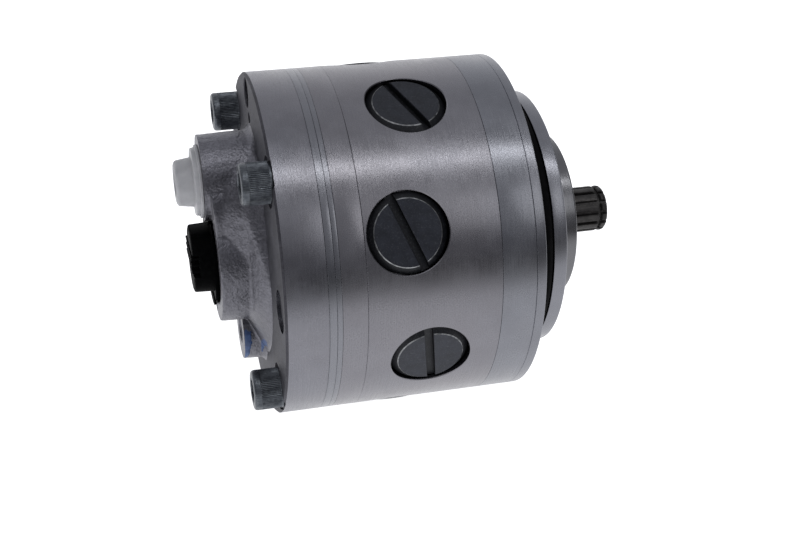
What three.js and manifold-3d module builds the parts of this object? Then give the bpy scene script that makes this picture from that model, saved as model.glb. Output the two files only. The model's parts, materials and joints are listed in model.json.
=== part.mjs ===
// Radial-piston hydraulic motor. Eight pistons in two staggered rings push slippers against an
// eight-sided slide ring on an eccentric shaft, and a rotary valve at the rear feeds them in turn.
//
// Frame, in millimetres: the shaft turns about X, the origin is on its axis in the plane of the
// mounting face, +X points out of the splined end and +Z is up. Angles around the shaft are in
// degrees, start at +Z and grow towards -Y, which is a positive turn about +X.

import * as THREE from "three";
import { mergeVertices } from "three/addons/utils/BufferGeometryUtils.js";
import Module from "manifold-3d";

const wasm = await Module();
wasm.setup();

// ---------------------------------------------------------------- driving dimensions

const GAP = 0.3; // between pieces that touch or run in each other

// Stack along the shaft, from the rear to the splined end.
const COVER_REAR_X = -112.9;
const CHANNEL_PLATE_REAR_X = -94.4;
const DISTRIBUTOR_PLATE_REAR_X = -91.1;
const BEARING_PLATE_REAR_X = -88.8;
const HOUSING_REAR_X = -78;
const HOUSING_FRONT_X = -19.4;
const MOUNTING_FACE_X = 0;
const PILOT_FRONT_X = 16.4;
const BOSS_FRONT_X = 29.4;
const SHAFT_FRONT_X = 56.2;

const BODY_R = 78.5;
const PILOT_R = 60;
const BOSS_R = 38.4;

// Cylinders: two rings of four, half a pitch apart.
const CYLINDER_COUNT = 8;
const CYLINDER_PITCH = 360 / CYLINDER_COUNT;
const REAR_RING_X = -59.2;
const FRONT_RING_X = -49.5;
const BORE_R = 12;
const PLUG_HOLE_R = 17.66;
const PLUG_SEAT = 64; // distance of the plug's inner face from the shaft axis
const PLUG_FACE = 77.5;
const PLUG_FACE_R = 14.6;
const PLUG_R = PLUG_HOLE_R - 0.45;
const PLUG_CHAMFER_DEPTH = 2.3;
const PLUG_SLOT_WIDTH = 3.8;
const PLUG_SLOT_DEPTH = 3;
const FEED_R = 2.5;
const FEED_RADIUS = 60.5; // distance of the oil feeds from the shaft axis

// Crank drive. The eccentric points up at rest.
const THROW = 4;
const ECCENTRIC_R = 18;
const ECCENTRIC_REAR_X = -67;
const ECCENTRIC_FRONT_X = -42;
const CAVITY_R = 40;
const RING_BORE_R = 21.4;
const RING_FLAT = 27.5; // distance of the slide ring's flats from its own axis
const FOOT_R = 7;
const FOOT_THICKNESS = 2.5;
const PISTON_R = 11.7;
const PISTON_BOTTOM = 36; // mean distances from the shaft axis
const PISTON_TOP = 56;
const BALL_R = 4.6;
const BALL_CENTRE = 42;

// Shaft.
const SHAFT_REAR_X = -90.5;
const JOURNAL_R = 12.4;
const REAR_JOURNAL_R = 9.8;
const SHOULDER_X = [-79.2, -17.3];
const SHOULDER_R = 14;
const WEIGHT_X = [-39.4, -25];
const WEIGHT_R = 30;
const WEIGHT_TOP_Z = -6;
const SPLINE_TEETH = 13;
const SPLINE_TIP_R = 10.95;
const SPLINE_ROOT_R = 9.4;
const SPLINE_REAR_X = BOSS_FRONT_X - 1;
const SPLINE_TURN = 10; // degrees from +Z to the first tooth, at rest
const SNAP_GROOVE_X = [51.4, 52.9];
const DOG_THICKNESS = 4.3;
const DOG_SLOT_WIDTH = 5;

// Bearings: the seat of each outer ring is a little wider than the ring.
const FRONT_BEARING = {
  x: [-17, -2], bore: JOURNAL_R, innerR: 16, rollerR: 2.8, trackR: 22, outerR: 27,
};
const REAR_BEARING = {
  x: [-87.4, -79.4], bore: REAR_JOURNAL_R, innerR: 13, rollerR: 2.2, trackR: 18, outerR: 22,
};
const SEAT_CLEARANCE = 0.2;
const ROLLERS_PER_BEARING = 12;

// Seal carrier and what sits in it.
const CARRIER_SEAT_X = 8;
const CARRIER_SEAT_R = 31;
const SEAL_BORE_R = 18.5;
const CIRCLIP_X = [22.2, 23.4];
const CIRCLIP_GROOVE_X = [22, 23.6];
const O_RING_GROOVE_X = [4.5, 10.2];
const O_RING_GROOVE_DEPTH = 3.4;

// Screws and dowels share one bolt circle.
const BOLT_CIRCLE_R = 69;
const SCREW_ANGLES = [45, 135, 225, 315];
const SCREW_R = 5.8;
const SCREW_HOLE_R = 6.3;
const SCREW_HEAD_R = 9;
const SCREW_HEAD_HEIGHT = 12;
const SCREW_SOCKET_ACROSS = 10;
const SCREW_SOCKET_DEPTH = 6;
const SCREW_TIP_X = -8;
const TAPPED_ANGLES = [0, 90, 180, 270];
const TAPPED_R = 4.25;
const TAPPED_DEPTH = 12;
const DOWEL_ANGLES = [180, 270];
const DOWEL_R = 3;
const DOWEL_ENDS_X = [-102, -71];

// Rear cover: height of each port's axis above the shaft, its cast boss and its machined face. A
// boss flares out from flareX to its foot, whose centre may lie lower.
const UPPER_PORT = {
  z: 34.8, bossR: 19.2, bossX: -136.8, flareX: -118.5, footR: 25.5, footDrop: 0,
  faceX: -136.8, holeR: 12.9, holeEndX: -117,
};
const CENTRE_PORT = {
  z: -4, bossR: 30.2, bossX: -133.3, flareX: -120, footR: 41, footDrop: 7,
  faceX: -132, holeR: 15.6, holeEndX: -119.5,
};
const DRAIN_PORT = {
  z: -43, bossR: 14, bossX: -123.2, flareX: -115.5, footR: 17, footDrop: 0,
  faceX: -123.2, holeR: 6.5, holeEndX: -108,
};
const PORTS = [UPPER_PORT, CENTRE_PORT, DRAIN_PORT];
const WEB_TOP_R = 18.7; // the web runs from this radius in the upper boss to the centre boss's side
const GUSSET_Z = 21.7;
const GUSSET = [
  [-129.5, 0], [-129.5, 23.9], [-120.6, 29], [COVER_REAR_X + 1, 31], [COVER_REAR_X + 1, 0],
];
const DRAIN_FEED_Z = -38.5;
const VALVE_BORE_R = 16.3;
const VALVE_BORE_END_X = -115.5;
const VALVE_R = VALVE_BORE_R - 0.4;
const VALVE_GROOVE_X = [-112, -106];
const DISTRIBUTOR_PLATE_BORE_R = 10.5;
const CHANNEL_PLATE_BORE_R = 9;
const SPOT_FACE_R = 22;
const WITNESS_HOLE = { z: -30, r: 1.25, depth: 4 };
const RIM_HOLES = [
  { radius: 70, angle: -7.5, r: 6.75, depth: 8 },
  { radius: 59, angle: -3, r: 2.75, depth: 8 },
  { radius: 64.5, angle: 93, r: 9.3, depth: 1.6 },
  { radius: 69, angle: 90, r: 4.2, depth: 9 },
];

// Facets in a full turn, by the size of the round surface.
const LARGE = 32;
const MEDIUM = 18;
const SMALL = 10;
const TINY = 6;

// ---------------------------------------------------------------- materials

const finish = (color, roughness, metalness) =>
  new THREE.MeshStandardMaterial({ color, roughness, metalness });

const STEEL = finish(0x6c6c70, 0.42, 0.9);
const FLANGE_STEEL = finish(0x66686e, 0.4, 0.9);
const CAST_IRON = finish(0x5a5a5e, 0.6, 0.7);
const PLUG_STEEL = finish(0x34363d, 0.35, 0.8);
const SCREW_STEEL = finish(0x4b5558, 0.45, 0.8);
const SHAFT_STEEL = finish(0x2a2a2c, 0.35, 0.8);
const GROUND_STEEL = finish(0x8c8c90, 0.25, 1);
const SPRING_STEEL = finish(0x3a3a3e, 0.4, 0.9);
const BRONZE = finish(0x9a7440, 0.4, 0.9);
const RUBBER = finish(0x0d0d0f, 0.6, 0);
const WHITE_PLASTIC = finish(0xb9bcc2, 0.4, 0);
const BLACK_PLASTIC = finish(0x08090a, 0.35, 0);

// ---------------------------------------------------------------- shape helpers

// A solid that can be joined and cut, from any closed three.js geometry.
function solid(geometry) {
  const bare = geometry.clone();
  bare.deleteAttribute("normal");
  bare.deleteAttribute("uv");
  const merged = mergeVertices(bare, 1e-4);
  const corners = merged.index.array;
  const kept = [];
  for (let i = 0; i < corners.length; i += 3) {
    const [a, b, c] = [corners[i], corners[i + 1], corners[i + 2]];
    if (a !== b && b !== c && c !== a) kept.push(a, b, c);
  }
  return new wasm.Manifold(new wasm.Mesh({
    numProp: 3,
    vertProperties: merged.attributes.position.array,
    triVerts: new Uint32Array(kept),
  }));
}

const fuse = (parts) => parts.reduce((whole, part) => whole.add(part));
const carve = (whole, tools) => tools.reduce((left, tool) => left.subtract(tool), whole);

// A shape turned about X from an outline of [x, radius] points. The outline closes on itself, or
// starts and ends on the axis.
function turned(outline, segments) {
  const points = outline.map(([x, radius]) => new THREE.Vector2(radius, x));
  if (THREE.ShapeUtils.area(points) < 0) points.reverse();
  if (points[0].x > 0) points.push(points[0].clone());
  return new THREE.LatheGeometry(points, segments).rotateZ(-Math.PI / 2);
}

// A rod along X, and a ring of rectangular section around X.
const rod = (radius, fromX, toX, segments = SMALL) =>
  turned([[fromX, 0], [fromX, radius], [toX, radius], [toX, 0]], segments);
const ring = (innerR, outerR, fromX, toX, segments = MEDIUM) =>
  turned([[fromX, innerR], [fromX, outerR], [toX, outerR], [toX, innerR]], segments);

// Stands a shape that was turned about X on Z instead, so that x becomes height.
const upright = (geometry) => geometry.rotateY(-Math.PI / 2);

// Moves a shape out from the shaft axis, then around it.
const around = (geometry, radius, angle) =>
  geometry.translate(0, 0, radius).rotateX(THREE.MathUtils.degToRad(angle));

// A prism along X whose section is drawn in (y, z).
function prism(shape, fromX, toX, curveSegments = TINY) {
  const depth = toX - fromX;
  const along = new THREE.ExtrudeGeometry(shape, { depth, bevelEnabled: false, curveSegments });
  return along.applyMatrix4(new THREE.Matrix4().set(0, 0, 1, fromX, 1, 0, 0, 0, 0, 1, 0, 0, 0, 0, 0, 1));
}

// A box along X, centred on the shaft axis in y and z.
const bar = (width, height, fromX, toX) =>
  new THREE.BoxGeometry(toX - fromX, width, height).translate((fromX + toX) / 2, 0, 0);

function polygon(points) {
  return new THREE.Shape(points.map(([y, z]) => new THREE.Vector2(y, z)));
}

const motor = new THREE.Group();

function add(name, body, material, parent = motor) {
  const { vertProperties, triVerts } = body.getMesh();
  const geometry = new THREE.BufferGeometry();
  geometry.setAttribute("position", new THREE.BufferAttribute(vertProperties, 3));
  geometry.setIndex(new THREE.BufferAttribute(triVerts, 1));
  geometry.computeVertexNormals();
  const mesh = new THREE.Mesh(geometry, material);
  mesh.name = name;
  parent.add(mesh);
}

// A group turned to one angle around the shaft, for pieces that point outwards.
function station(x, angle, distance = 0) {
  const group = new THREE.Group();
  const lift = new THREE.Group();
  group.rotation.x = THREE.MathUtils.degToRad(angle);
  lift.position.set(x, 0, distance);
  group.add(lift);
  motor.add(group);
  return lift;
}

// Every second cylinder lies in the rear ring, and the first one is just before the top.
const CYLINDERS = Array.from({ length: CYLINDER_COUNT }, (_, index) => ({
  number: index + 1,
  x: index % 2 === 0 ? REAR_RING_X : FRONT_RING_X,
  angle: (index - 0.5) * CYLINDER_PITCH,
}));

// ---------------------------------------------------------------- housing and plates

const screwHoles = (fromX, toX) =>
  SCREW_ANGLES.map((angle) => solid(around(rod(SCREW_HOLE_R, fromX, toX), BOLT_CIRCLE_R, angle)));
const dowelHoles = (fromX, toX) =>
  DOWEL_ANGLES.map((angle) => solid(around(rod(DOWEL_R + GAP, fromX, toX, TINY), BOLT_CIRCLE_R, angle)));
const feedHoles = (fromX, toX) =>
  CYLINDERS.map(({ angle }) => solid(around(rod(FEED_R, fromX, toX, TINY), FEED_RADIUS, angle)));
const drainHole = (fromX, toX) => solid(rod(FEED_R, fromX, toX, TINY).translate(0, 0, DRAIN_FEED_Z));

function makeHousing() {
  const barrel = solid(ring(CAVITY_R, BODY_R, HOUSING_REAR_X, HOUSING_FRONT_X, LARGE));
  const cylinderCuts = CYLINDERS.flatMap(({ x, angle }) => {
    const bore = upright(rod(BORE_R, CAVITY_R - 5, PLUG_SEAT + 1, MEDIUM)).translate(x, 0, 0);
    const seat = upright(rod(PLUG_HOLE_R, PLUG_SEAT, BODY_R + 5, MEDIUM)).translate(x, 0, 0);
    const feed = rod(FEED_R, HOUSING_REAR_X - 1, x, TINY);
    return [around(bore, 0, angle), around(seat, 0, angle), around(feed, FEED_RADIUS, angle)].map(solid);
  });
  const through = [HOUSING_REAR_X - 1, HOUSING_FRONT_X + 1];
  return carve(barrel, [
    ...cylinderCuts,
    ...screwHoles(...through),
    ...dowelHoles(HOUSING_REAR_X - 1, DOWEL_ENDS_X[1] + 1),
  ]);
}

function makeBearingPlate() {
  const seatEndX = REAR_BEARING.x[0] - GAP;
  const seatR = REAR_BEARING.outerR + SEAT_CLEARANCE;
  const lipR = 15;
  const plate = solid(turned([
    [BEARING_PLATE_REAR_X, lipR], [BEARING_PLATE_REAR_X, BODY_R], [HOUSING_REAR_X, BODY_R],
    [HOUSING_REAR_X, seatR], [seatEndX, seatR], [seatEndX, lipR],
  ], LARGE));
  const through = [BEARING_PLATE_REAR_X - 1, HOUSING_REAR_X + 1];
  return carve(plate, [
    ...screwHoles(...through), ...dowelHoles(...through), ...feedHoles(...through), drainHole(...through),
  ]);
}

function makeDistributorPlate() {
  const plate = solid(ring(
    DISTRIBUTOR_PLATE_BORE_R, BODY_R, DISTRIBUTOR_PLATE_REAR_X, BEARING_PLATE_REAR_X, LARGE,
  ));
  const through = [DISTRIBUTOR_PLATE_REAR_X - 1, BEARING_PLATE_REAR_X + 1];
  return carve(plate, [
    ...screwHoles(...through), ...dowelHoles(...through), ...feedHoles(...through), drainHole(...through),
  ]);
}

// Eight radial slots carry the oil from the valve out to the cylinders' feeds.
function makeChannelPlate() {
  const plate = solid(ring(
    CHANNEL_PLATE_BORE_R, BODY_R, CHANNEL_PLATE_REAR_X, DISTRIBUTOR_PLATE_REAR_X, LARGE,
  ));
  const through = [CHANNEL_PLATE_REAR_X - 1, DISTRIBUTOR_PLATE_REAR_X + 1];
  const [slotInner, slotOuter] = [CHANNEL_PLATE_BORE_R + 2, FEED_RADIUS + FEED_R];
  const slots = CYLINDERS.map(({ angle }) =>
    solid(around(bar(2 * FEED_R, slotOuter - slotInner, ...through), (slotInner + slotOuter) / 2, angle)));
  return carve(plate, [
    ...screwHoles(...through), ...dowelHoles(...through), ...slots, drainHole(...through),
  ]);
}

// ---------------------------------------------------------------- front end

function makeFrontFlange() {
  const seatEndX = FRONT_BEARING.x[1] + GAP;
  const seatR = FRONT_BEARING.outerR + SEAT_CLEARANCE;
  const shaftHoleR = 21;
  const grooveR = PILOT_R - O_RING_GROOVE_DEPTH;
  const [grooveRearX, grooveFrontX] = O_RING_GROOVE_X;
  const body = solid(turned([
    [HOUSING_FRONT_X, seatR], [HOUSING_FRONT_X, BODY_R], [MOUNTING_FACE_X, BODY_R],
    [MOUNTING_FACE_X, PILOT_R], [grooveRearX, PILOT_R], [grooveRearX, grooveR],
    [grooveFrontX, grooveR], [grooveFrontX, PILOT_R], [PILOT_FRONT_X - 1, PILOT_R],
    [PILOT_FRONT_X, PILOT_R - 1],
    [PILOT_FRONT_X, CARRIER_SEAT_R], [CARRIER_SEAT_X, CARRIER_SEAT_R], [CARRIER_SEAT_X, shaftHoleR],
    [seatEndX, shaftHoleR], [seatEndX, seatR],
  ], LARGE));
  const tapped = TAPPED_ANGLES.map((angle) =>
    solid(around(rod(TAPPED_R, MOUNTING_FACE_X - TAPPED_DEPTH, 1), BOLT_CIRCLE_R, angle)));
  return carve(body, [...screwHoles(HOUSING_FRONT_X - 1, SCREW_TIP_X + 2), ...tapped]);
}

function makeSealCarrier() {
  const shaftHoleR = JOURNAL_R + 0.8;
  const rearX = CARRIER_SEAT_X + GAP;
  const stepX = PILOT_FRONT_X + GAP;
  const stemR = CARRIER_SEAT_R - GAP;
  const sealShoulderX = 12;
  const chamfer = 0.8;
  const circlipGrooveR = SEAL_BORE_R + 1.3;
  const [grooveRearX, grooveFrontX] = CIRCLIP_GROOVE_X;
  return solid(turned([
    [rearX, shaftHoleR], [rearX, stemR], [stepX, stemR], [stepX, BOSS_R],
    [BOSS_FRONT_X - chamfer, BOSS_R], [BOSS_FRONT_X, BOSS_R - chamfer], [BOSS_FRONT_X, SEAL_BORE_R],
    [grooveFrontX, SEAL_BORE_R],
    [grooveFrontX, circlipGrooveR], [grooveRearX, circlipGrooveR], [grooveRearX, SEAL_BORE_R],
    [sealShoulderX, SEAL_BORE_R], [sealShoulderX, shaftHoleR],
  ], LARGE));
}

// The seal's lip reaches forwards along the shaft from a thin back wall.
const makeShaftSeal = () => solid(turned([
  [14, JOURNAL_R + 0.4], [14, SEAL_BORE_R - 0.5], [21.5, SEAL_BORE_R - 0.5], [21.5, 16.5], [16, 16.5],
  [16, 14.2], [20.5, 13.6], [20.5, JOURNAL_R + 0.4],
], MEDIUM));

// A circlip is a ring with a gap, and here its ears are left out.
function makeSealCirclip() {
  const hoop = solid(ring(SEAL_BORE_R - 1.9, SEAL_BORE_R + 1, ...CIRCLIP_X));
  const gap = bar(7, 8, CIRCLIP_X[0] - 1, CIRCLIP_X[1] + 1);
  return hoop.subtract(solid(around(gap, SEAL_BORE_R, 180)));
}

function makePilotORing() {
  const corners = 6;
  const centre = { x: (O_RING_GROOVE_X[0] + O_RING_GROOVE_X[1]) / 2, radius: PILOT_R - 0.8 };
  const section = Array.from({ length: corners }, (_, index) => {
    const angle = (index / corners) * 2 * Math.PI;
    return [centre.x + 2.5 * Math.cos(angle), centre.radius + 2.3 * Math.sin(angle)];
  });
  return solid(turned(section, LARGE));
}

// ---------------------------------------------------------------- crank drive

// A toothed bar, turned down to the shaft's envelope: end chamfer and snap-ring groove.
function makeSpline() {
  const pitch = 2 * Math.PI / SPLINE_TEETH;
  const [rootShare, tipShare] = [0.325, 0.221]; // a tooth's half width at root and tip, in pitches
  const corners = [
    [-rootShare, SPLINE_ROOT_R], [-tipShare, SPLINE_TIP_R],
    [tipShare, SPLINE_TIP_R], [rootShare, SPLINE_ROOT_R],
  ];
  const outline = Array.from({ length: SPLINE_TEETH }, (_, tooth) =>
    corners.map(([share, radius]) => {
      const angle = (tooth + share) * pitch;
      return [-radius * Math.sin(angle), radius * Math.cos(angle)];
    })).flat();
  const toothed = solid(prism(polygon(outline), SPLINE_REAR_X, SHAFT_FRONT_X)
    .rotateX(THREE.MathUtils.degToRad(SPLINE_TURN)));
  const [clearR, grooveR, endR, chamfer] = [SPLINE_TIP_R + 0.55, SPLINE_ROOT_R + 0.2, 9, 1.6];
  const [grooveRearX, grooveFrontX] = SNAP_GROOVE_X;
  const envelope = solid(turned([
    [SPLINE_REAR_X, 0], [SPLINE_REAR_X, clearR], [grooveRearX, clearR], [grooveRearX, grooveR],
    [grooveFrontX, grooveR], [grooveFrontX, clearR], [SHAFT_FRONT_X - chamfer, clearR],
    [SHAFT_FRONT_X, endR], [SHAFT_FRONT_X, 0],
  ], MEDIUM));
  return toothed.intersect(envelope);
}

function makeCrankshaft() {
  const taperX = [BOSS_FRONT_X - 2.4, BOSS_FRONT_X - 0.5];
  const core = solid(turned([
    [SHAFT_REAR_X, 0], [SHAFT_REAR_X, REAR_JOURNAL_R], [SHOULDER_X[0], REAR_JOURNAL_R],
    [SHOULDER_X[0], SHOULDER_R], [SHOULDER_X[1], SHOULDER_R], [SHOULDER_X[1], JOURNAL_R],
    [taperX[0], JOURNAL_R], [taperX[1], 9], [taperX[1], 0],
  ], MEDIUM));
  const eccentric = solid(rod(ECCENTRIC_R, ECCENTRIC_REAR_X, ECCENTRIC_FRONT_X, LARGE)
    .translate(0, 0, THROW));
  const disc = solid(rod(WEIGHT_R, ...WEIGHT_X, LARGE));
  const upperPart = bar(80, 40, WEIGHT_X[0] - 1, WEIGHT_X[1] + 1).translate(0, 0, WEIGHT_TOP_Z + 20);
  const weight = disc.subtract(solid(upperPart));
  const dogSlot = solid(bar(DOG_SLOT_WIDTH, 30, SHAFT_REAR_X - 1, SHAFT_REAR_X + 4));
  return carve(fuse([core, eccentric, weight, makeSpline()]), [dogSlot]);
}

// Rollers in their cage, made as one solid because they only move as a set.
function makeRollerSet(count, rollerR, circleR, fromX, toX) {
  const cage = solid(ring(circleR - 0.5 * rollerR, circleR + 0.5 * rollerR, fromX, toX));
  const rollers = Array.from({ length: count }, (_, index) =>
    solid(around(rod(rollerR, fromX + 0.6, toX - 0.6, TINY), circleR, (index * 360) / count)));
  return fuse([cage, ...rollers]);
}

// Ring with a flat for each slipper and a round bore for the eccentric's rollers.
function makeSlideRing() {
  const cornerR = RING_FLAT / Math.cos(Math.PI / CYLINDER_COUNT);
  const corners = Array.from({ length: CYLINDER_COUNT }, (_, index) => {
    const angle = (index * 2 * Math.PI) / CYLINDER_COUNT;
    return [cornerR * Math.sin(angle), cornerR * Math.cos(angle)];
  });
  const block = solid(prism(polygon(corners), ECCENTRIC_REAR_X, ECCENTRIC_FRONT_X));
  return block.subtract(solid(rod(RING_BORE_R, ECCENTRIC_REAR_X - 1, ECCENTRIC_FRONT_X + 1, LARGE)));
}

// The piston is hollow from below and holds the slipper's ball. Heights are from the shaft axis.
const makePiston = () => solid(upright(turned([
  [PISTON_BOTTOM, 8.6], [PISTON_BOTTOM, PISTON_R], [PISTON_TOP, PISTON_R], [PISTON_TOP, 0],
  [BALL_CENTRE + BALL_R + 0.4, 0], [BALL_CENTRE + 3, BALL_R], [PISTON_BOTTOM + 3, 5.2],
], 16)));

const makeSlipper = () => solid(upright(turned([
  [RING_FLAT + 0.1, 0], [RING_FLAT + 0.1, FOOT_R], [RING_FLAT + FOOT_THICKNESS, FOOT_R],
  [RING_FLAT + FOOT_THICKNESS + 0.5, 3], [BALL_CENTRE - 3, 3], [BALL_CENTRE, BALL_R - 0.4],
  [BALL_CENTRE + 3, 3], [BALL_CENTRE + BALL_R - 0.5, 0],
], 12)));

// ---------------------------------------------------------------- valve

// A flat dog that bridges the plates, with a collar in the middle.
const makeValveCoupling = () => fuse([
  solid(bar(DOG_THICKNESS, 12, -98.2, -86.9)),
  solid(rod(6.5, -93.9, -91.2)),
]);

// Two kidneys in the front face and a ring groove pass oil between the ports and the cylinders.
function makeDistributorValve() {
  const frontX = CHANNEL_PLATE_REAR_X - GAP;
  const rearX = VALVE_BORE_END_X + 0.5;
  const grooveR = 12.5;
  const [grooveRearX, grooveFrontX] = VALVE_GROOVE_X;
  const spool = solid(turned([
    [rearX, 0], [rearX, VALVE_R], [grooveRearX, VALVE_R], [grooveRearX, grooveR], [grooveFrontX, grooveR],
    [grooveFrontX, VALVE_R], [frontX, VALVE_R], [frontX, 0],
  ], MEDIUM));
  const kidney = { innerR: 10, outerR: 14, halfSpan: 60, depth: 5 };
  const kidneys = [90, 270].map((angle) => {
    const shape = new THREE.Shape();
    const [low, high] = [angle - kidney.halfSpan, angle + kidney.halfSpan].map(THREE.MathUtils.degToRad);
    shape.absarc(0, 0, kidney.outerR, low, high, false);
    shape.absarc(0, 0, kidney.innerR, high, low, true);
    return solid(prism(shape, frontX - kidney.depth, frontX + 1));
  });
  const dogSlot = solid(bar(DOG_SLOT_WIDTH, 14, frontX - 4.2, frontX + 1));
  return carve(spool, [...kidneys, dogSlot]);
}

// ---------------------------------------------------------------- rear cover

// A port's boss with its flared foot, which is pushed down by the foot's drop.
function portBoss({ z, bossR, bossX, flareX, footR, footDrop }) {
  const footX = COVER_REAR_X + 1;
  const boss = turned([
    [bossX, 0], [bossX, bossR], [flareX, bossR + 0.5], [footX, footR], [footX, 0],
  ], MEDIUM);
  const places = boss.attributes.position;
  for (let i = 0; i < places.count; i += 1) {
    if (places.getX(i) > (flareX + footX) / 2) places.setZ(i, places.getZ(i) - footDrop);
  }
  return solid(boss.translate(0, 0, z));
}

// The web that joins the upper boss to the centre one: flat sides, and a swelling at its foot.
function bossWeb() {
  const lean = Math.asin((CENTRE_PORT.bossR - WEB_TOP_R) / (UPPER_PORT.z - CENTRE_PORT.z));
  const side = (z, radius) => [radius * Math.cos(lean), z + radius * Math.sin(lean)];
  const [y, z] = side(UPPER_PORT.z, WEB_TOP_R);
  const [lowY, lowZ] = side(CENTRE_PORT.z, CENTRE_PORT.bossR);
  const flanks = polygon([[-y, z], [-lowY, lowZ], [lowY, lowZ], [y, z]]);
  return [
    solid(prism(flanks, CENTRE_PORT.bossX, COVER_REAR_X + 1)),
    solid(turned(GUSSET, MEDIUM).translate(0, 0, GUSSET_Z)),
  ];
}

function makeRearCover() {
  const disc = solid(turned([
    [COVER_REAR_X, 0], [COVER_REAR_X, BODY_R - 0.6], [COVER_REAR_X + 0.6, BODY_R],
    [CHANNEL_PLATE_REAR_X, BODY_R], [CHANNEL_PLATE_REAR_X, 0],
  ], LARGE));
  const body = fuse([disc, ...PORTS.map(portBoss), ...bossWeb()]);

  const portHoles = PORTS.map(({ z, faceX, holeR, holeEndX }) =>
    solid(rod(holeR, faceX - 1, holeEndX, 24).translate(0, 0, z)));
  const valveBore = solid(rod(VALVE_BORE_R, VALVE_BORE_END_X, CHANNEL_PLATE_REAR_X + 1, MEDIUM));
  const [passageR, crossPassageR, crossPassageX] = [5, 3.5, -109];
  const upperPassage = solid(rod(passageR, UPPER_PORT.holeEndX - 1, -106).translate(0, 0, UPPER_PORT.z));
  const upperCross = solid(upright(rod(crossPassageR, VALVE_BORE_R - 4, UPPER_PORT.z))
    .translate(crossPassageX, 0, 0));
  const centrePassage = solid(rod(passageR, CENTRE_PORT.holeEndX - 1, VALVE_BORE_END_X + 1)
    .translate(0, 0, CENTRE_PORT.z + 1));
  const witnessHole = solid(
    rod(WITNESS_HOLE.r, CENTRE_PORT.bossX - 1, CENTRE_PORT.bossX + WITNESS_HOLE.depth, TINY)
      .translate(0, 0, WITNESS_HOLE.z));
  const rimHoles = RIM_HOLES.map(({ radius, angle, r, depth }) =>
    solid(around(rod(r, COVER_REAR_X - 1, COVER_REAR_X + depth), radius, angle)));
  const centreSpotFace = solid(rod(SPOT_FACE_R, UPPER_PORT.faceX - 1, CENTRE_PORT.faceX, 24)
    .translate(0, 0, CENTRE_PORT.z));
  return carve(body, [
    centreSpotFace, ...portHoles, valveBore, upperPassage, upperCross, centrePassage, witnessHole,
    ...rimHoles,
    drainHole(DRAIN_PORT.holeEndX - 1, CHANNEL_PLATE_REAR_X + 1),
    ...screwHoles(COVER_REAR_X - 1, CHANNEL_PLATE_REAR_X + 1),
    ...dowelHoles(DOWEL_ENDS_X[0] - 1, CHANNEL_PLATE_REAR_X + 1),
  ]);
}

// ---------------------------------------------------------------- screws, plugs and dowels

function makeCapScrew() {
  const bearingX = COVER_REAR_X - 0.1;
  const topX = bearingX - SCREW_HEAD_HEIGHT;
  const chamfer = 0.8;
  const body = solid(turned([
    [topX, 0], [topX, SCREW_HEAD_R - chamfer], [topX + chamfer, SCREW_HEAD_R], [bearingX, SCREW_HEAD_R],
    [bearingX, SCREW_R], [SCREW_TIP_X, SCREW_R], [SCREW_TIP_X, 0],
  ], 16));
  const socketR = SCREW_SOCKET_ACROSS / 2 / Math.cos(Math.PI / 6);
  return body.subtract(solid(rod(socketR, topX - 1, topX + SCREW_SOCKET_DEPTH, 6)));
}

// Screw plug with a wide chamfer around its face and a slot across it.
function makeCylinderPlug() {
  const bottom = PLUG_SEAT + 0.1;
  const chamferFoot = PLUG_FACE - PLUG_CHAMFER_DEPTH;
  const body = solid(upright(turned([
    [bottom, 0], [bottom, PLUG_R], [chamferFoot, PLUG_R], [PLUG_FACE, PLUG_FACE_R], [PLUG_FACE, 0],
  ], MEDIUM)));
  const slot = new THREE.BoxGeometry(3 * PLUG_R, PLUG_SLOT_WIDTH, 2 * PLUG_SLOT_DEPTH)
    .translate(0, 0, PLUG_FACE);
  return body.subtract(solid(slot));
}

// The plug's slot stops where tightening left it, so each one points its own way.
const SLOT_TURNS = [35, 68, 68, 82, 20, 121, 152, 8];

// Transport plugs stand in the ports: shank, collar and grip.
const makeUpperPortPlug = () => solid(turned([
  [-124, 0], [-124, 12.2], [UPPER_PORT.faceX - 0.1, 12.4], [UPPER_PORT.faceX - 0.1, 16.5],
  [UPPER_PORT.faceX - 1.9, 16.5], [UPPER_PORT.faceX - 1.9, 11], [-146, 10.4], [-147.4, 8.8], [-147.4, 0],
], MEDIUM).translate(0, 0, UPPER_PORT.z));

const makeCentrePortPlug = () => solid(turned([
  [-122, 0], [-122, 14.9], [CENTRE_PORT.faceX - 0.1, 15.1], [CENTRE_PORT.faceX - 0.1, 21.5],
  [CENTRE_PORT.faceX - 2.2, 20.5], [CENTRE_PORT.faceX - 2.2, 15.6], [-142.6, 15.2], [-143.9, 13.8],
  [-143.9, 0],
], MEDIUM).translate(0, 0, CENTRE_PORT.z));

// ---------------------------------------------------------------- assembly

add("housing", makeHousing(), STEEL);
add("front_flange", makeFrontFlange(), FLANGE_STEEL);
add("bearing_plate", makeBearingPlate(), STEEL);
add("distributor_plate", makeDistributorPlate(), STEEL);
add("channel_plate", makeChannelPlate(), STEEL);
add("rear_cover", makeRearCover(), CAST_IRON);

add("seal_carrier", makeSealCarrier(), FLANGE_STEEL);
add("shaft_seal", makeShaftSeal(), RUBBER);
add("seal_circlip", makeSealCirclip(), SPRING_STEEL);
add("pilot_o_ring", makePilotORing(), RUBBER);

add("crankshaft", makeCrankshaft(), SHAFT_STEEL);
add("valve_coupling", makeValveCoupling(), GROUND_STEEL);
add("distributor_valve", makeDistributorValve(), GROUND_STEEL);

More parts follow.
